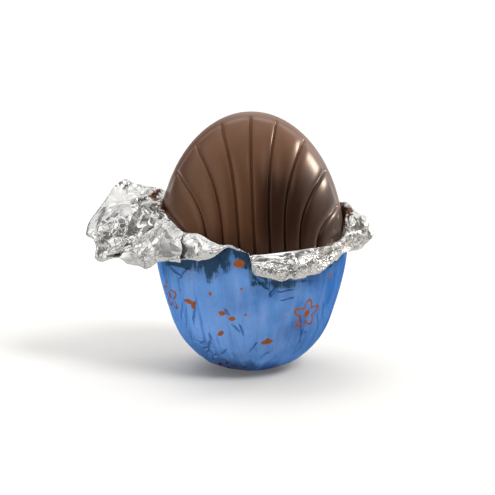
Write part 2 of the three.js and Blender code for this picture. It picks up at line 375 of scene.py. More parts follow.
foil = {
    "gap": 0.1,                     # the sheet clings to the egg
    "thickness": 0.07,
    "gathered": 5.5,                # below this height its gathered layers fill the space under the egg
    "foldLift": 1.2,                # how steeply the sheet leaves the egg before it turns over
    "foldBow": 1.1,
    "flapBow": 0.7,                 # the large flap bows less
    "flapAt": (60, 85, 112, 130),   # to the left
    "tightBend": 0.25,              # along the front edge the fold is pressed flat
    "tightAt": (-8, 0, 55, 80),
    "hugRows": 42,
    "peelRows": 48,
    "steadyHeight": 15,             # up to here the rows are level
    "steadyShare": 0.55,            # and this share of the hugging rows is below it
    "beadSize": 0.5,
    # the roll lies along the edge at the left and takes up the whole band at the right.
    # Four angles say where something starts, is full, fades and ends
    "beadAt": (-1, 5, 75, 95),
    "beadPlace": (0.8, 0.5),
    "beadWidth": (0.15, 0.45),
    "beadCrumple": 0.95,
    "fluteDepth": 0.16,             # the sheet dips a little into the chocolate's grooves
    "cupCrumple": 0.07,
    "cupPatches": 0.16,             # and more than that in the crumpled patches of the cup
    # the cup's upright wrinkles: (round per degree, up per mm, place in the noise, depth)
    "wrinkles": [(0.3, 0.12, 2.5, 0.12), (0.8, 0.3, 7.5, 0.05)],
    "closest": -0.06,               # they go no further in than this
    "standOff": 0.9,                # the torn side stands this far off the egg at the right
    "standAt": (84, 97, 108, 126),
    "cupFlare": 0.4,                # how far the cup stands off at both sides, near the fold
    "flareAt": (45, 80, 95, 130),
    "slack": 0.85,                  # and near the bottom, where the egg turns in
    "sharpAngle": 7,                # creases sharper than this stay crisp
    "mergeWithin": 0.003,
    # how deep the creases of each size are; sizes in steps of the mesh
    "creases": {16: 0.34, 8: 0.27, 4: 0.14, 2: 0.07},
    "creaseShift": 0.27,
    "edgeHold": 0.5,                # and how much of them is left at the torn edge
    "beadHold": 1.0,                # the roll keeps them all
    # the creases smaller than fineCells are faint in some patches and deeper in others
    "fineCells": 8,
    "fineShare": (0.15, 1.3),
    "patchSize": 13,
    "calming": 0.8,                 # what the calm places take away
}

# round the egg in degrees from the front: where the sheet folds, and where its torn edge ends up
# (at, fold height, edge's direction, edge's distance from the axis, edge's height, crumple)
stations = [
    (-180, 27.5, -180, 17.9, 30.0, 0.12),
    (-155, 27.8, -155, 17.8, 30.8, 0.15),
    (-136, 28.6, -134, 17.7, 31.6, 0.20),
    (-122, 30.0, -117, 18.2, 32.0, 0.15),
    (-114, 30.8, -109, 19.1, 32.7, 0.20),
    (-107, 31.3, -103, 22.1, 33.4, 0.50),
    (-100, 31.6, -100, 24.8, 35.0, 0.70),
    (-93, 31.6, -95, 26.9, 32.7, 0.80),
    (-87, 31.4, -91, 28.3, 29.7, 0.80),
    (-81, 31.1, -86.5, 29.7, 26.5, 0.80),
    (-76, 30.8, -82, 28.5, 24.8, 0.80),
    (-70, 30.3, -79, 28.2, 21.5, 0.80),
    (-65, 29.9, -75.5, 25.3, 22.0, 0.80),
    (-60, 29.4, -70.5, 23.1, 20.9, 0.70),
    (-55, 28.9, -65.5, 21.4, 20.3, 0.60),
    (-51, 28.4, -57, 20.3, 22.2, 0.45),
    (-48, 28.1, -46, 19.8, 22.8, 0.30),
    (-45.5, 27.9, -41, 19.5, 23.0, 0.20),
    (-43.5, 27.8, -46, 18.7, 23.2, 0.15),
    (-40, 27.8, -42, 18.7, 23.3, 0.25),
    (-33, 27.9, -33, 18.8, 23.7, 0.30),
    (-21, 26.6, -21, 18.7, 24.7, 0.25),
    (-13, 26.0, -13, 18.5, 26.5, 0.10),
    (-8, 25.4, -8, 18.3, 26.0, 0.05),
    (-2, 24.95, -1.5, 18.2, 25.3, 0.05),
    (0, 24.95, -0.1, 18.6, 23.9, 0.05),
    (1, 25.0, 0.4, 18.8, 22.3, 0.08),
    (3, 25.05, 2.2, 18.9, 21.6, 0.10),
    (8, 25.1, 7.5, 18.9, 21.2, 0.10),
    (15, 25.25, 15, 19.0, 20.5, 0.10),
    (30, 25.4, 30, 19.0, 20.8, 0.10),
    (41, 25.4, 41, 18.9, 21.5, 0.12),
    (52, 25.3, 52, 18.9, 22.4, 0.20),
    (61, 25.4, 61, 19.1, 23.4, 0.30),
    (70, 25.7, 72, 19.6, 23.6, 0.45),
    (79, 26.6, 82, 20.6, 23.3, 0.75),
    (87, 27.6, 86, 22.5, 25.0, 0.90),
    (93, 28.8, 90, 21.8, 27.2, 0.80),
    (98, 29.2, 94, 19.8, 28.2, 0.55),
    (104, 29.3, 100, 18.5, 29.4, 0.40),
    (113, 29.0, 109, 18.0, 29.6, 0.25),
    (130, 28.4, 130, 17.9, 30.8, 0.20),
    (155, 27.6, 155, 17.9, 29.9, 0.15),
]

# places on the peeled part are (across, up) in mm, as seen from in front of the egg and this many
# degrees above level, so that one place is one point of the visible sheet
seenFrom = 12

# its larger folds: (start, end, half width, height towards the silver side)
ridges = [
    ((-18.0, 33.4), (-23.6, 29.0), 0.75, 0.6),
    ((-18.7, 32.3), (-23.3, 28.3), 0.5, -0.45),
    ((-16.9, 33.2), (-20.0, 31.6), 0.6, 0.4),
    ((-26.6, 31.4), (-27.6, 19.4), 1.1, 0.5),
    ((-28.9, 25.4), (-28.5, 19.6), 0.8, 0.35),
    ((-25.4, 22.9), (-21.2, 24.6), 0.8, 0.45),
    ((-24.6, 26.6), (-21.6, 25.0), 0.8, -0.4),
    ((-18.9, 24.7), (-13.4, 24.6), 0.7, 0.35),
    ((-17.6, 22.6), (-21.2, 18.6), 0.9, -0.5),
    ((-20.4, 21.0), (-18.9, 17.8), 0.7, 0.4),
    ((-11.2, 24.8), (-8.7, 20.0), 0.9, -0.25),
    ((-8.6, 22.4), (-3.4, 23.0), 0.8, -0.25),
    ((0.5, 20.0), (7.6, 20.5), 0.4, 0.12),
    ((0.8, 19.2), (8.6, 19.4), 0.4, 0.14),
    ((7.2, 21.2), (8.3, 19.2), 0.4, 0.2),
    ((8.8, 21.0), (14.4, 21.3), 0.5, -0.12),
    ((20.4, 28.6), (22.0, 25.0), 0.9, 0.5),
    ((18.4, 26.6), (21.4, 23.8), 0.8, -0.4),
]

# dents that deepen from a point to a blunt end: (point, end, half width of the end, depth)
dents = [
    ((-20.1, 30.4), (-22.1, 26.0), 1.2, 2.0),
    ((-20.1, 30.4), (-18.9, 26.2), 1.0, 2.0),
    ((-20.1, 30.4), (-16.8, 27.6), 0.8, 1.6),
    ((-21.9, 23.2), (-24.7, 21.4), 0.9, 0.9),
    ((-24.8, 23.9), (-26.8, 22.7), 0.7, 0.6),
    ((-22.4, 25.6), (-21.9, 23.9), 0.7, 0.6),
    ((20.6, 28.0), (19.4, 25.4), 0.8, 0.8),
    ((18.6, 23.6), (16.6, 22.4), 0.6, 0.5),
]

# places where the sheet stays smoother, and brown patches painted as a reflection of the chocolate: (place,
# radius)
calmPlaces = [
    ((-24.3, 31.2), 3.2), ((-15.9, 22.0), 3.0), ((-9.8, 22.6), 3.0), ((-20.0, 27.8), 3.2), ((3.5, 20.4), 3.0),
    ((9.8, 20.8), 3.4), ((-22.6, 20.4), 2.0), ((-27.9, 21.5), 1.6),
]
chocolateReflections = [
    ((-18.0, 32.0), 1.6), ((-17.6, 30.3), 2.0), ((-16.3, 29.4), 1.2),
    ((17.5, 28.9), 2.1), ((17.0, 26.6), 1.2),
]

# columns of the sheet: close together where it is crumpled, wider apart behind
# (from, to, step) in degrees
columnSteps = [(-180, -128, 1.7), (-128, -44, 0.58), (-44, 112, 0.54), (112, 180, 1.7)]


def stationAt(angle):
    # all values at an angle, by a smooth curve through the stations that closes on itself
    count = len(stations)

    def place(i):
        return stations[i % count][0] + 360 * (i // count)

    def values(i):
        fold, turn, reach, edge, crumple = stations[i % count][1:]
        return (fold, turn + 360 * (i // count), reach, edge, crumple)

    i = 0
    while place(i + 1) <= angle:
        i += 1
    span = place(i + 1) - place(i)
    t = (angle - place(i)) / span
    weights = ((1 + 2 * t) * (1 - t) ** 2, t * (1 - t) ** 2, t * t * (3 - 2 * t), t * t * (t - 1))
    result = []
    for before, start, end, after in zip(values(i - 1), values(i), values(i + 1), values(i + 2)):
        slopeStart = (end - before) / (place(i + 1) - place(i - 1)) * span
        slopeEnd = (after - start) / (place(i + 2) - place(i)) * span
        parts = (start, slopeStart, end, slopeEnd)
        result.append(sum(w * part for w, part in zip(weights, parts)))
    return dict(zip(("fold", "turn", "reach", "edge", "crumple"), result))


def polarAngle(z):
    return math.acos(clamp((eggLevel - z) / halfHeight(z), -1, 1))


def huggingPoint(angle, fold, share):
    # on the plain egg, at a share of the way from the bottom to the fold
    steady = polarAngle(foil["steadyHeight"])
    steadyShare = foil["steadyShare"]
    if share < steadyShare:
        polar = steady * share / steadyShare
    else:
        polar = mix(steady, polarAngle(fold), (share - steadyShare) / (1 - steadyShare))
    half = egg["lowerHeight"] if polar < math.pi / 2 else egg["upperHeight"]
    p = outwards(angle) * (egg["radius"] * math.sin(polar))
    p.z = eggLevel - half * math.cos(polar)
    return p


def beadShare(angle, t):
    # how much a place on the peeled part belongs to the crumpled roll along the front edge
    rightwards = smooth(24, 58, angle)
    place = mix(*foil["beadPlace"], rightwards)
    width = mix(*foil["beadWidth"], rightwards)
    return within(angle, *foil["beadAt"]) * math.exp(-((t - place) / width) ** 2)


def sheetColumn(angle, station):
    # the smooth sheet's points up one column
    clinging = foil["gap"] + foil["thickness"] / 2
    under = egg["foot"] - foil["thickness"] / 2
    points = []
    for row in range(foil["hugRows"] + 1):
        p = huggingPoint(angle, station["fold"], row / foil["hugRows"])
        standing = within(angle, *foil["standAt"]) * smooth(23, 30, p.z)
        away = mix(under, clinging, smooth(0, foil["gathered"], p.z)) + foil["standOff"] * standing
        points.append(offsetFromEgg(p, away))
    start = points[-1]
    out = outwards(station["turn"])
    end = out * station["reach"]
    end.z = station["edge"]
    outAndUp = out + Vector((0, 0, 1))
    bow = mix(foil["foldBow"], foil["flapBow"], within(-angle, *foil["flapAt"]))
    rise = start + Vector((0, 0, foil["foldLift"]))
    over = start.lerp(end, 0.5) + outAndUp * bow
    tight = within(angle, *foil["tightAt"])
    rise = rise.lerp(start + outAndUp * foil["tightBend"], tight)
    over = over.lerp(start.lerp(end, 0.3) + out * (2 * foil["tightBend"]), tight)
    for row in range(1, foil["peelRows"] + 1):
        t = row / foil["peelRows"]
        s = 1 - t
        p = start * s ** 3 + rise * (3 * s * s * t) + over * (3 * s * t * t) + end * t ** 3
        points.append(p + out * (foil["beadSize"] * beadShare(angle, t)))
    return points


def columnAngles():
    angles = []
    for low, high, step in columnSteps:
        count = round((high - low) / step)
        angles += [low + (high - low) * i / count for i in range(count)]
    return angles + [columnSteps[-1][1]]


def cutsUp(size, i, j):
    # which way a square of the lattice is cut in two: a larger square's cut runs on through its parts
    if size < max(foil["creases"]):
        largerUp = cutsUp(size * 2, i // 2, j // 2)
        if largerUp == (i % 2 == j % 2):
            return largerUp
    return noise.cell(Vector((i + 0.5, j + 0.5, size + 0.5))) > 0.5


def creaseVector(column, row, size):
    # random vectors at the corners of a lattice of triangles, with flat facets in between
    i, j = column // size, row // size
    s, t = column / size - i, row / size - j
    if cutsUp(size, i, j):
        if s > t:
            corners = ((0, 0, 1 - s), (1, 0, s - t), (1, 1, t))
        else:
            corners = ((0, 0, 1 - t), (0, 1, t - s), (1, 1, s))
    elif s + t < 1:
        corners = ((0, 0, 1 - s - t), (1, 0, s), (0, 1, t))
    else:
        corners = ((1, 1, s + t - 1), (1, 0, 1 - t), (0, 1, 1 - s))
    total = Vector((0, 0, 0))
    for right, up, weight in corners:
        draw = noise.cell_vector(Vector((i + right + 0.5, j + up + 0.5, size * 3 + 0.5)))
        total += (draw * 2 - Vector((1, 1, 1))) * weight
    return total


def asSeen(p):
    # where a point shows from in front of the egg and seenFrom degrees above level
    return Vector((p.x, p.z * math.cos(math.radians(seenFrom)) + p.y * math.sin(math.radians(seenFrom))))


def largeFolds(seen):
    # how far the named folds lift the sheet towards its silver side
    height = 0
    for start, end, halfWidth, lift in ridges:
        along = Vector(end) - Vector(start)
        away = seen - Vector(start)
        share = away.dot(along) / along.length_squared
        if 0 < share < 1:
            distance = (away - along * share).length
            height += lift * min(1, 3 * share, 3 * (1 - share)) * max(0, 1 - distance / halfWidth)
    for point, end, halfWidth, depth in dents:
        along = Vector(end) - Vector(point)
        away = seen - Vector(point)
        share = away.dot(along) / along.length_squared
        if 0 < share < 1.2:
            across = (away - along * share).length / (halfWidth * min(share, 1))
            height -= depth * share * clamp(2.2 * (1 - across)) * (1 - smooth(1, 1.2, share))
    return height


def closeness(seen, places):
    # 1 in the middle of one of the places, 0 away from all of them
    return max(1 - smooth(0.5, 1.1, (seen - Vector(centre)).length / radius) for centre, radius in places)


def cupWrinkles(p, angle):
    # fine upright wrinkles, and the cup standing off a little at both sides
    wrinkle = 0
    for perDegree, perHeight, place, depth in foil["wrinkles"]:
        wrinkle += noise.noise(Vector((angle * perDegree, p.z * perHeight, place))) * depth
    flare = within(abs(angle), *foil["flareAt"]) * smooth(16, 24, p.z)
    slack = smooth(-14, -6, -p.z) * smooth(0.5, 4.5, p.z)
    wrinkle *= smooth(0, 9, p.z) * (1 - smooth(166, 178, abs(angle)))
    return wrinkle + foil["cupFlare"] * flare + foil["slack"] * slack


def fluteDip(p):
    # how far the sheet sinks into the chocolate's grooves
    spacing = max(egg["radius"] * widthShare(p.z), 1) * egg["grooveSpacing"]
    lean = egg["fanLean"] * widthShare(p.z) * (1 - min(1, abs(p.x / spacing) / lastLine) ** 2)
    line = (p.x - lean) / spacing
    flute = (0.5 + 0.5 * math.cos(2 * math.pi * line)) ** 3 * (1 - smooth(4.2, 5, abs(line)))
    return foil["fluteDepth"] * flute * smooth(3, 9, p.z) * smooth(-24, -19, -p.z)


def peelRoughness(angle, t, crumple):
    # how far the creases lift the peeled part and shift it along itself
    bead = beadShare(angle, t)
    hold = mix(1, mix(foil["edgeHold"], foil["beadHold"], bead), smooth(0.75, 1, t))
    lifting = (crumple + foil["beadCrumple"] * bead) * (smooth(0, 0.25, t) * hold)
    return lifting, smooth(0, 0.3, t) * hold


def cupRoughness(p, angle, t):
    # the same for the cup, which is rougher in patches, at its lower left and at the bottom
    lowerLeft = smooth(15, 50, -angle) * smooth(-14, -3, -p.z)
    bottom = smooth(-9, -4, -p.z)
    rough = max(smooth(-0.1, 0.4, noise.noise(p / 5)), lowerLeft, 0.7 * bottom)
    return foil["cupCrumple"] + foil["cupPatches"] * rough, 0.4 * rough * smooth(0, 0.2, -t)


def creasedSheet(angles, columns, crumples):
    # every point of the sheet moved by the creases of all sizes
    count = len(angles) - 1
    creased = []
    for c, angle in enumerate(angles):
        left = columns[c - 1 if c > 0 else count - 1]
        right = columns[c + 1 if c < count else 1]
        points = columns[c]
        closing = 1 - smooth(170, 178, abs(angle))
        moved = []
        for r, p in enumerate(points):
            along = (right[r] - left[r]) / 2
            upward = (points[min(r + 1, len(points) - 1)] - points[max(r - 1, 0)]) / 2
            if r == len(points) - 1:
                upward *= 2
            normal = along.cross(upward)
            if normal.length < 1e-9:
                moved.append(p.copy())
                continue
            normal.normalize()
            t = (r - foil["hugRows"]) / foil["peelRows"]
            if t > 0:
                crumple, sideways = peelRoughness(angle, t, crumples[c])
                size = (along.length + upward.length) / 2
            else:
                crumple, sideways = cupRoughness(p, angle, t)
                size = min(along.length, upward.length)
            patch = noise.noise(Vector((c, r, 0.5)) / foil["patchSize"])
            seen = asSeen(p)
            calm = 1 - foil["calming"] * closeness(seen, calmPlaces)
            fine = mix(*foil["fineShare"], smooth(-0.35, 0.35, patch)) * calm
            fine = max(fine, beadShare(angle, t))
            shift = Vector((0, 0, 0))
            lift = 0
            for cells, height in foil["creases"].items():
                draw = creaseVector(c, r - foil["hugRows"], cells)
                height *= fine if cells < foil["fineCells"] else calm
                lift += draw.x * height * cells * size * crumple * closing
                reach = cells * foil["creaseShift"] * sideways * closing
                shift += (along * draw.y + upward * draw.z) * reach
            if t <= 0:
                lift += cupWrinkles(p, angle)
                lift = (max(lift, foil["closest"]) - fluteDip(p)) * smooth(0, 0.06, -t)
            else:
                lift -= largeFolds(seen) * smooth(0, 0.3, t) * smooth(-130, -115, -abs(angle))
            creasedPoint = p + shift + normal * lift
            creasedPoint.z = max(creasedPoint.z, foil["thickness"] / 2)
            moved.append(creasedPoint)
        creased.append(moved)
    return creased


def edgeAbove(angle, stationValues):
    # the height of the lowest torn edge that hangs in front of a place
    near = [station["edge"] for station in stationValues if abs(station["turn"] - angle) < 1.6]
    return min(near, default=30)


def buildFoil():
    angles = columnAngles()
    stationValues = [stationAt(a) for a in angles]
    columns = [sheetColumn(a, station) for a, station in zip(angles, stationValues)]
    columns = creasedSheet(angles, columns, [station["crumple"] for station in stationValues])
    rows = foil["hugRows"] + foil["peelRows"]
    overhangs = [edgeAbove(a, stationValues) for a in angles]
    bm = bmesh.new()
    bmesh.ops.create_grid(bm, x_segments=len(angles) - 1, y_segments=rows, size=0.5)
    names = ("belowEdge", "calm", "chocolateReflection", "rolled")
    belowEdge, calm, chocolateReflection, rolled = [bm.verts.layers.float.new(name) for name in names]
    indexOf = {}
    for v in bm.verts:
        column = round((v.co.x + 0.5) * (len(angles) - 1))
        row = round((v.co.y + 0.5) * rows)
        indexOf[v] = (column, row)
    for face in bm.faces[:]:
        low = min(indexOf[v] for v in face.verts)
        corner = {(indexOf[v][0] - low[0], indexOf[v][1] - low[1]): v for v in face.verts}
        if cutsUp(1, low[0], low[1] - foil["hugRows"]):
            bmesh.utils.face_split(face, corner[0, 0], corner[1, 1])
        else:
            bmesh.utils.face_split(face, corner[1, 0], corner[0, 1])
    for v, (column, row) in indexOf.items():
        v.co = columns[column][row] * mm
        v[belowEdge] = max(0, overhangs[column] - columns[column][row].z)
        if row > foil["hugRows"]:
            v[calm] = closeness(asSeen(columns[column][row]), calmPlaces)
            v[chocolateReflection] = closeness(asSeen(columns[column][row]), chocolateReflections)
            v[rolled] = beadShare(angles[column], (row - foil["hugRows"]) / foil["peelRows"])
    bmesh.ops.remove_doubles(bm, verts=bm.verts, dist=foil["mergeWithin"] * mm)
    return bm


# what is printed on the foil, at places given as (degrees from the front, height)
printing = {
    "flowers": [(39.6, 13), (-65.8, 15.2), (-25.5, 2), (112, 9.5), (-128, 8), (156, 19), (-168, 13.5)],
    "petalRadius": 2.15,
    "petalSwing": 0.65,
    "stroke": 0.66,
    "centreDot": 0.45,
    "reach": 3,                     # how far a printed thing reaches through the sheet
    # drops: (degrees, height, width, height of the drop, tilt)
    "drops": [
        (-7.3, 23.4, 1.9, 1.4, 0), (-26.1, 17.4, 0.8, 0.8, 0), (-6.2, 18.7, 0.5, 0.5, 0),
        (-49.3, 17.1, 0.35, 0.35, 0), (-44.0, 15.3, 2.1, 0.9, -6), (-40.7, 14.6, 0.9, 1.7, -20),
        (-19.3, 13.8, 1.35, 1.0, 0), (-12.8, 12.9, 1.35, 0.9, 8), (-3.5, 13.7, 0.45, 0.5, 0),
        (-22.2, 9.9, 1.5, 0.85, 40), (11.6, 8.5, 2.3, 1.2, 18), (56.4, 19.4, 0.9, 0.95, 0),
        (77.4, 8.5, 0.7, 0.95, 0), (31.1, 2.7, 0.4, 0.4, 0), (43.1, 5.3, 0.3, 0.3, 0),
        (22.8, 12.9, 0.25, 0.25, 0), (3.3, 21.4, 0.55, 0.4, 0),
    ],
}

# thin creases pressed into the cup and the darker patches of the painted shade under the fold, given like the
# drops
cupMarks = {
    "creases": [
        (-41.1, 13.0, 0.4, 5.3, -18), (-52.4, 8.0, 0.5, 3.0, -23), (-31.7, 9.0, 0.4, 1.5, -7),
        (-36.8, 6.8, 0.45, 5.6, -32), (-15.8, 14.1, 0.45, 1.5, 41), (-10.6, 11.1, 0.35, 2.0, 43),
        (-6.5, 10.7, 0.35, 2.4, 17), (-55.1, 12.5, 0.3, 5.3, -29), (-50.7, 11.6, 0.3, 5.4, -25),
        (5.4, 20.0, 0.5, 4.3, 46), (13.6, 18.1, 0.9, 2.3, -34), (20.4, 18.1, 0.3, 3.2, -87),
        (22.8, 16.5, 0.25, 2.8, -83), (0.7, 7.2, 0.35, 2.9, -31), (11.3, 5.9, 0.3, 4.0, -45),
        (-23.7, 6.1, 0.35, 2.5, -39), (-52.9, 20.5, 0.4, 3.2, 71), (-44.9, 20.6, 0.35, 3.5, -48),
        (-50.4, 17.8, 0.3, 3.2, -2), (53.6, 10.8, 0.3, 3.8, 24), (57.6, 12.4, 0.3, 4.9, 27),
        (-44.6, 5.4, 0.35, 2.6, 2), (41.8, 5.8, 0.3, 3.5, -29), (37.1, 10.1, 0.3, 6.7, 16),
    ],
    "shadePatches": [
        (-26.2, 21.6, 3.4, 3.2, 0), (-19.3, 20.1, 0.7, 4.2, -2), (-21.8, 20.9, 0.8, 3.4, 0),
        (-36.2, 22.1, 4.5, 1.4, 0), (-8.1, 24.3, 5.2, 2.9, 0), (21.5, 19.2, 1.1, 9.6, 88),
        (11.7, 17.9, 1.7, 2.1, 5), (-45.0, 22.4, 0.9, 8.3, -82), (62.3, 22.0, 2.0, 3.3, -81),
        (-15.6, 22.5, 3.0, 1.6, 0),
    ],
    # the painted shade reaches this far below the torn edge, less far at the right, and stays in front
    "shadeDepth": 7,
    "shadeShorter": (-1.5, 2, 1, 1.8),
    "shadeFront": (-3, -9),
}

foilLook = {
    "blue": (0.128, 0.295, 0.65, 1),
    # the deep blue comes in with random clouds and as painted shade at the right; the low blue is painted
    # light low down and at the left
    "deepBlue": (0.055, 0.155, 0.42, 1),
    "paintedLightBlue": (0.2, 0.43, 0.92, 1),
    "sheenBlue": (0.26, 0.39, 0.74, 1),
    "creaseShadeBlue": (0.02, 0.08, 0.3, 1),
    "underFoldShade": (0.013, 0.032, 0.055, 1),
    "edgeTint": (0.28, 0.5, 0.85, 1),
    "silver": (0.57, 0.565, 0.55, 1),
    "creaseShadeSilver": (0.1, 0.085, 0.07, 1),
    "chocolate": (0.1, 0.04, 0.02, 1),
    "ink": (0.33, 0.096, 0.018, 1),
    "paintedLightAt": (14, 2),
    # how much of their colour the pale bands of painted sheen, the cup's creases and the roll's creases, both
    # with painted shade, have
    "sheenShare": 0.5,
    "creaseShadeShare": 0.5,
    "rollCreaseShadeShare": 0.95,
    "creaseDepth": 0.25,
    "rollCreaseDepth": 0.1,
    "metallic": 0.85,
    # for the printed and the bare side: roughness, and how far the finest facets lean and how
    # deep the creases between them are
    "roughness": (0.34, 0.2),
    "facetLean": (0.1, 0.34),
    "facetCrease": (0.012, 0.035),
}

# how fine the patterns of the foil are, per metre
foilGrain = {
    "clouds": 140,                  # upright bands of painted sheen, paler
    "sheenBands": 430,                   # upright, paler
    "sheenBandSqueeze": 0.12,
    "waver": 900,                   # of ragged outlines
    "shadeStreaks": 520,                 # in the painted shade under the fold
    "shadeStreakSqueeze": 0.35,
    "cells": 330,                   # with the cup's creases between them
    "cellBends": 260,
    "cellPatches": 190,
    "facets": 900,
    "facetPatches": 170,
    "rollCreases": 1300,
    "stainGrains": 800,
}


def onCup(angle, z):
    # place and turn of a thing printed at an angle and height
    p = outwards(angle) * (egg["radius"] * widthShare(z))
    p.z = z
    slope = math.asin(clamp(eggNormal(p).z, -1, 1))
    turn = Matrix.Rotation(math.radians(angle), 3, "Z") @ Matrix.Rotation(-slope, 3, "X")
    return p * mm, turn


def decalPlace(tree, source, angle, z, size, tilt=0):
    # coordinates round a printed thing, in which it spans 1 each way
    place, turn = onCup(angle, z)
    turn = turn @ Matrix.Rotation(math.radians(-tilt), 3, "Y")
    scale = (size[0] * mm, printing["reach"] * mm, size[1] * mm)
    mapping = addNode(tree, "ShaderNodeMapping", vector_type="TEXTURE")
    feed(tree, mapping, {"Vector": source, "Location": place, "Rotation": turn.to_euler(), "Scale": scale})
    return mapping.outputs["Vector"]


def bentPlace(tree, place):
    # coordinates with a slight waver, for ragged outlines
    wobble = noiseAt(tree, place, foilGrain["waver"], 1, "Color")
    centred = vectorMath(tree, "SUBTRACT", wobble, (0.5, 0.5, 0.5))
    return vectorMath(tree, "MULTIPLY_ADD", centred, (0.5 * mm,) * 3, place)


def nearestOval(tree, source, ovals):
    # how far off the nearest oval is, 1 on its outline and 0 in its middle
    nearest = None
    for angle, z, width, height, tilt in ovals:
        local = decalPlace(tree, source, angle, z, (width / 2, height / 2), tilt)
        distance = vectorMath(tree, "LENGTH", local, output="Value")
        nearest = distance if nearest is None else calculate(tree, "MINIMUM", nearest, distance)
    return nearest


def inkMask(tree, place, bent):
    # 1 where the print's brown ink is: drops of all sizes and outlined flowers
    nearest = nearestOval(tree, bent, printing["drops"])
    drops = calculate(tree, "MULTIPLY_ADD", nearest, -4, 4.5, clampIt=True)
    outlines = None
    for angle, z in printing["flowers"]:
        local = decalPlace(tree, place, angle, z, (1, 1))
        at = axes(tree, local)
        radius = vectorMath(tree, "LENGTH", local, output="Value")
        around = calculate(tree, "ARCTAN2", at["X"], at["Z"])
        petals = calculate(tree, "COSINE", calculate(tree, "MULTIPLY", around, 5))
        wanted = calculate(tree, "MULTIPLY_ADD", petals, printing["petalSwing"], printing["petalRadius"])
        off = calculate(tree, "ABSOLUTE", calculate(tree, "SUBTRACT", radius, wanted))
        offDot = calculate(tree, "SUBTRACT", radius, printing["centreDot"])
        off = calculate(tree, "MINIMUM", off, offDot)
        outlines = off if outlines is None else calculate(tree, "MINIMUM", outlines, off)
    edge = calculate(tree, "SUBTRACT", printing["stroke"] / 2, outlines)
    flowers = calculate(tree, "MULTIPLY", edge, 14, clampIt=True)
    return calculate(tree, "MAXIMUM", drops, flowers)


def underFoldShadeMask(tree, place, bent):
    # painted shade on the front of the foil below the overhanging fold, in upright streaks, with a soft
    # painted shade close under the edge
    at = axes(tree, place)
    belowEdge = meshValue(tree, "belowEdge")
    shorter = fadeBetween(tree, at["X"], *cupMarks["shadeShorter"])
    depth = calculate(tree, "MULTIPLY", belowEdge, shorter)
    height = rangeOf(tree, depth, 0, cupMarks["shadeDepth"], 1, -2.2)
    shadeStreaks = drawnUp(tree, place, foilGrain["shadeStreakSqueeze"])
    blotches = noiseAt(tree, shadeStreaks, foilGrain["shadeStreaks"], 6, Roughness=0.7)
    spread = calculate(tree, "MULTIPLY_ADD", blotches, 7, -3.5)
    nearest = nearestOval(tree, bent, cupMarks["shadePatches"])
    patches = calculate(tree, "MULTIPLY_ADD", nearest, -1.8, 3.2, clampIt=True)
    spread = calculate(tree, "ADD", patches, spread)
    mask = calculate(tree, "ADD", spread, height, clampIt=True)
    contactShade = calculate(tree, "MULTIPLY_ADD", belowEdge, -0.12, 0.55, clampIt=True)
    mask = calculate(tree, "MAXIMUM", calculate(tree, "MULTIPLY", mask, 0.92), contactShade)
    return calculate(tree, "MULTIPLY", mask, fadeBetween(tree, at["Y"], *cupMarks["shadeFront"]))


def wrinkleLines(tree, place, bent):
    # thin crooked creases: the named ones, and others in some patches and mostly low down.
    # -1 in the middle of a crease and 0 beside it
    bends = noiseAt(tree, place, foilGrain["cellBends"], output="Color")
    crooked = vectorMath(tree, "MULTIPLY_ADD", bends, (5 * mm,) * 3, place)
    borders = cellsAt(tree, crooked, foilGrain["cells"], "DISTANCE_TO_EDGE")["Distance"]
    sunk = rangeOf(tree, borders, 0, 0.08, -1, 0)
    at = axes(tree, place)
    leftwards = calculate(tree, "MULTIPLY", at["X"], -10)
    lower = calculate(tree, "MULTIPLY_ADD", at["Z"], -14, leftwards)
    patches = noiseAt(tree, place, foilGrain["cellPatches"])
    share = calculate(tree, "MULTIPLY_ADD", patches, 9, -5.1)
    share = calculate(tree, "ADD", share, calculate(tree, "MULTIPLY", lower, 6), clampIt=True)
    lines = calculate(tree, "MULTIPLY", sunk, share)
    nearest = nearestOval(tree, bent, cupMarks["creases"])
    named = calculate(tree, "MULTIPLY_ADD", nearest, -1.8, 2.2, clampIt=True)
    return calculate(tree, "MINIMUM", lines, calculate(tree, "MULTIPLY", named, -1))


def crinkleBump(tree, place, lean, crease, extra):
    # the finest creases of the foil: small flat facets that each lean their own way, with thin
    # creases between them
    cells = cellsAt(tree, place, foilGrain["facets"], "F1")
    borders = cellsAt(tree, place, foilGrain["facets"], "DISTANCE_TO_EDGE")
    inCell = vectorMath(tree, "SUBTRACT", place, cells["Position"])
    ownWay = vectorMath(tree, "SUBTRACT", cells["Color"], (0.5, 0.5, 0.5))
    height = vectorMath(tree, "DOT_PRODUCT", inCell, ownWay, output="Value")
    groove = rangeOf(tree, borders["Distance"], 0, 0.12, 0, crease * mm)
    height = calculate(tree, "MULTIPLY_ADD", height, lean, groove)
    patches = noiseAt(tree, place, foilGrain["facetPatches"])
    strength = calculate(tree, "MULTIPLY_ADD", patches, 3.4, -0.7)
    strength = calculate(tree, "MULTIPLY_ADD", meshValue(tree, "calm"), -0.9, strength, clampIt=True)
    height = calculate(tree, "MULTIPLY_ADD", height, strength, extra)
    return bumpOf(tree, height, 1, 1)


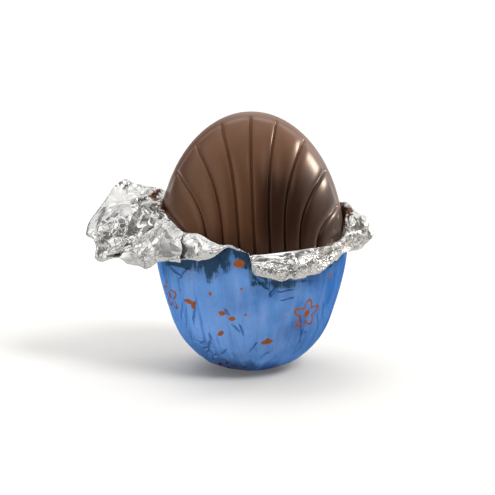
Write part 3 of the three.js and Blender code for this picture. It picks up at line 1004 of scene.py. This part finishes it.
def printMaterial():
    material, tree, skin = newMaterial("printedFoil")
    look = foilLook
    place = objectPlace(tree)
    at = axes(tree, place)
    # brighter in random clouds; painted light makes it brighter at the left and low down, and painted shade
    # makes it deeper blue at the right
    clouds = noiseAt(tree, place, foilGrain["clouds"], 4)
    cloudsAndPaintedLight = calculate(tree, "MULTIPLY_ADD", at["X"], -20, clouds)
    share = rangeOf(tree, cloudsAndPaintedLight, 0.2, 0.55)
    colour = mixColours(tree, share, look["deepBlue"], look["blue"])
    lean = calculate(tree, "MULTIPLY_ADD", at["X"], 0.4, at["Z"])
    low = fadeBetween(tree, lean, *look["paintedLightAt"])
    colour = mixColours(tree, calculate(tree, "MULTIPLY", low, share), colour, look["paintedLightBlue"])
    # painted sheen: soft upright bands where the foil is paler
    sheenBands = noiseAt(tree, drawnUp(tree, place, foilGrain["sheenBandSqueeze"]), foilGrain["sheenBands"])
    sheenBands = calculate(tree, "MULTIPLY_ADD", sheenBands, 3.2, -1.45, clampIt=True)
    share = calculate(tree, "MULTIPLY", sheenBands, look["sheenShare"])
    colour = mixColours(tree, share, colour, look["sheenBlue"])
    bent = bentPlace(tree, place)
    wrinkles = wrinkleLines(tree, place, bent)
    # the creases are painted darker as painted shade, and pressed in by the bump
    share = calculate(tree, "MULTIPLY", wrinkles, -look["creaseShadeShare"])
    colour = mixColours(tree, share, colour, look["creaseShadeBlue"])
    # painted shade under the overhanging fold
    colour = mixColours(tree, underFoldShadeMask(tree, place, bent), colour, look["underFoldShade"])
    colour = mixColours(tree, inkMask(tree, place, bent), colour, look["ink"])
    depth = calculate(tree, "MULTIPLY", wrinkles, look["creaseDepth"] * mm)
    feed(tree, skin, {
        "Base Color": colour,
        "Metallic": look["metallic"],
        "Roughness": look["roughness"][0],
        "Specular Tint": look["edgeTint"],
        "Normal": crinkleBump(tree, place, look["facetLean"][0], look["facetCrease"][0], depth),
    })
    return material


def silverMaterial():
    material, tree, skin = newMaterial("bareFoil")
    look = foilLook
    place = objectPlace(tree)
    # painted shade: thin dark creases run all over the roll along the front edge
    bends = noiseAt(tree, place, foilGrain["rollCreases"], Distortion=0.7)
    offLine = calculate(tree, "ABSOLUTE", calculate(tree, "SUBTRACT", bends, 0.5))
    line = calculate(tree, "MULTIPLY_ADD", offLine, -26, 1, clampIt=True)
    share = calculate(tree, "MULTIPLY", meshValue(tree, "rolled"), look["rollCreaseShadeShare"])
    line = calculate(tree, "MULTIPLY", line, share)
    colour = mixColours(tree, line, look["silver"], look["creaseShadeSilver"])
    # chocolate rubbed into it in grains, and larger brown patches painted as a reflection of the chocolate
    grains = noiseAt(tree, place, foilGrain["stainGrains"], 3)
    spread = calculate(tree, "MULTIPLY_ADD", grains, 8, -5.6)
    grainsAndReflection = calculate(tree, "MULTIPLY_ADD", meshValue(tree, "chocolateReflection"), 2.2, spread, clampIt=True)
    colour = mixColours(tree, grainsAndReflection, colour, look["chocolate"])
    depth = calculate(tree, "MULTIPLY", line, -look["rollCreaseDepth"] * mm)
    feed(tree, skin, {
        "Base Color": colour,
        "Metallic": look["metallic"],
        "Roughness": look["roughness"][1],
        "Normal": crinkleBump(tree, place, look["facetLean"][1], look["facetCrease"][1], depth),
    })
    return material


materials = [printMaterial(), silverMaterial()]
wrapper = finishPiece("foilWrapper", buildFoil(), materials, "foil_wrapper")
wrapper.data.set_sharp_from_angle(angle=math.radians(foil["sharpAngle"]))
wall = wrapper.modifiers.new("wall", "SOLIDIFY")
wall.thickness = foil["thickness"] * mm
wall.offset = 0
wall.material_offset = 1
wall.material_offset_rim = 1
print("foil wrapper done")


# floor, lights and camera

studio = {
    "floor": (0.2, 0.196, 0.191, 1),
    "floorRoughness": 0.7,
    "floorHalf": 3,                 # half its side, in metres
    "floorGlow": 0.1,
    "glowColour": (1, 0.98, 0.955, 1),
    "dimLight": 0.15,               # what comes from every side
    # wide soft lights: (azimuth, elevation, inner and outer angle of its fade, brightness)
    # azimuth 0 is the camera's side and 90 the right
    "softLights": [
        (20, 84, 12, 40, 1.5),
        (44, 52, 6, 18, 2.6),
        (98, 20, 8, 24, 1.2),
        (180, 55, 12, 38, 1.0),
        (170, 10, 14, 40, 0.9),
        (125, 30, 10, 30, 0.9),
        (-98, 38, 12, 38, 1.2),
        (90, 48, 10, 32, 0.4),
        (-55, 27, 12, 28, 1.8),
    ],
    # these light only the floor, for its white and its wide soft shadows:
    # (azimuth, elevation, spread, strength)
    "floorLamps": [
        (54, 47, 24, 6.4),
        (0, 88, 70, 2.6),
        (220, 60, 50, 2.7),
    ],
}

rightStrip = {
    "azimuth": 124,
    "elevation": 22,
    "distance": 330,
    "aim": Vector((0, 0, 24)),
    "width": 45,
    "height": 90,
    "power": 0.75,
    "colour": (1, 0.86, 0.74),
}

camera = {
    "azimuth": 0,
    "elevation": 12,
    "distance": 385.7,
    "aim": Vector((-0.7, 0, 22.7)),
    "lens": 150,
    "sensor": 36,
    "nearest": 0.01,                # in metres
}


def awayTowards(azimuth, elevation):
    away = outwards(azimuth) * math.cos(math.radians(elevation))
    away.z = math.sin(math.radians(elevation))
    return away


def turnFrom(azimuth, elevation):
    # how a lamp or the camera is turned to shine or look from there
    return awayTowards(azimuth, elevation).to_track_quat("Z", "Y").to_euler()


def setUp(thing, values):
    away = awayTowards(values["azimuth"], values["elevation"])
    thing.location = (values["aim"] + away * values["distance"]) * mm
    thing.rotation_euler = turnFrom(values["azimuth"], values["elevation"])


strip = bpy.data.lights.new("rightStrip", "AREA")
strip.shape = "RECTANGLE"
strip.size = rightStrip["width"] * mm
strip.size_y = rightStrip["height"] * mm
strip.energy = rightStrip["power"]
strip.color = rightStrip["colour"]
setUp(addObject("rightStrip", strip), rightStrip)

bm = bmesh.new()
bmesh.ops.create_grid(bm, x_segments=1, y_segments=1, size=studio["floorHalf"])
floorMesh = bpy.data.meshes.new("floor")
bm.to_mesh(floorMesh)
bm.free()
floor = addObject("floor", floorMesh)
floorMaterial, tree, floorSkin = newMaterial("paleFloor")
feed(tree, floorSkin, {
    "Base Color": studio["floor"],
    "Roughness": studio["floorRoughness"],
    "Emission Color": studio["glowColour"],
    "Emission Strength": studio["floorGlow"],
})
floorMesh.materials.append(floorMaterial)
# it shows and mirrors as it is, but throws no light back up onto the chocolate
floor.visible_diffuse = False

floorOnly = bpy.data.collections.new("floorOnly")
floorOnly.objects.link(floor)
for azimuth, elevation, spread, strength in studio["floorLamps"]:
    sun = bpy.data.lights.new("floorLamp", "SUN")
    sun.angle = math.radians(spread)
    sun.energy = strength
    lamp = addObject("floorLamp", sun)
    lamp.rotation_euler = turnFrom(azimuth, elevation)
    lamp.light_linking.receiver_collection = floorOnly

world = bpy.data.worlds.new("studio")
world.use_nodes = True
tree = world.node_tree
direction = addNode(tree, "ShaderNodeTexCoord").outputs["Generated"]
brightness = studio["dimLight"]
for azimuth, elevation, inner, outer, strength in studio["softLights"]:
    facing = vectorMath(tree, "DOT_PRODUCT", direction, awayTowards(azimuth, elevation), output="Value")
    rim, core = math.cos(math.radians(outer)), math.cos(math.radians(inner))
    fade = rangeOf(tree, facing, rim, core, 0, strength, "SMOOTHSTEP")
    brightness = calculate(tree, "ADD", fade, brightness)
feed(tree, tree.nodes["Background"], {"Color": (1, 1, 1, 1), "Strength": brightness})
bpy.context.scene.world = world
bpy.context.scene.view_settings.view_transform = "Standard"

cameraData = bpy.data.cameras.new("camera")
cameraData.lens = camera["lens"]
cameraData.sensor_width = camera["sensor"]
cameraData.clip_start = camera["nearest"]
cameraObject = addObject("camera", cameraData)
setUp(cameraObject, camera)
bpy.context.scene.camera = cameraObject
print("studio done")
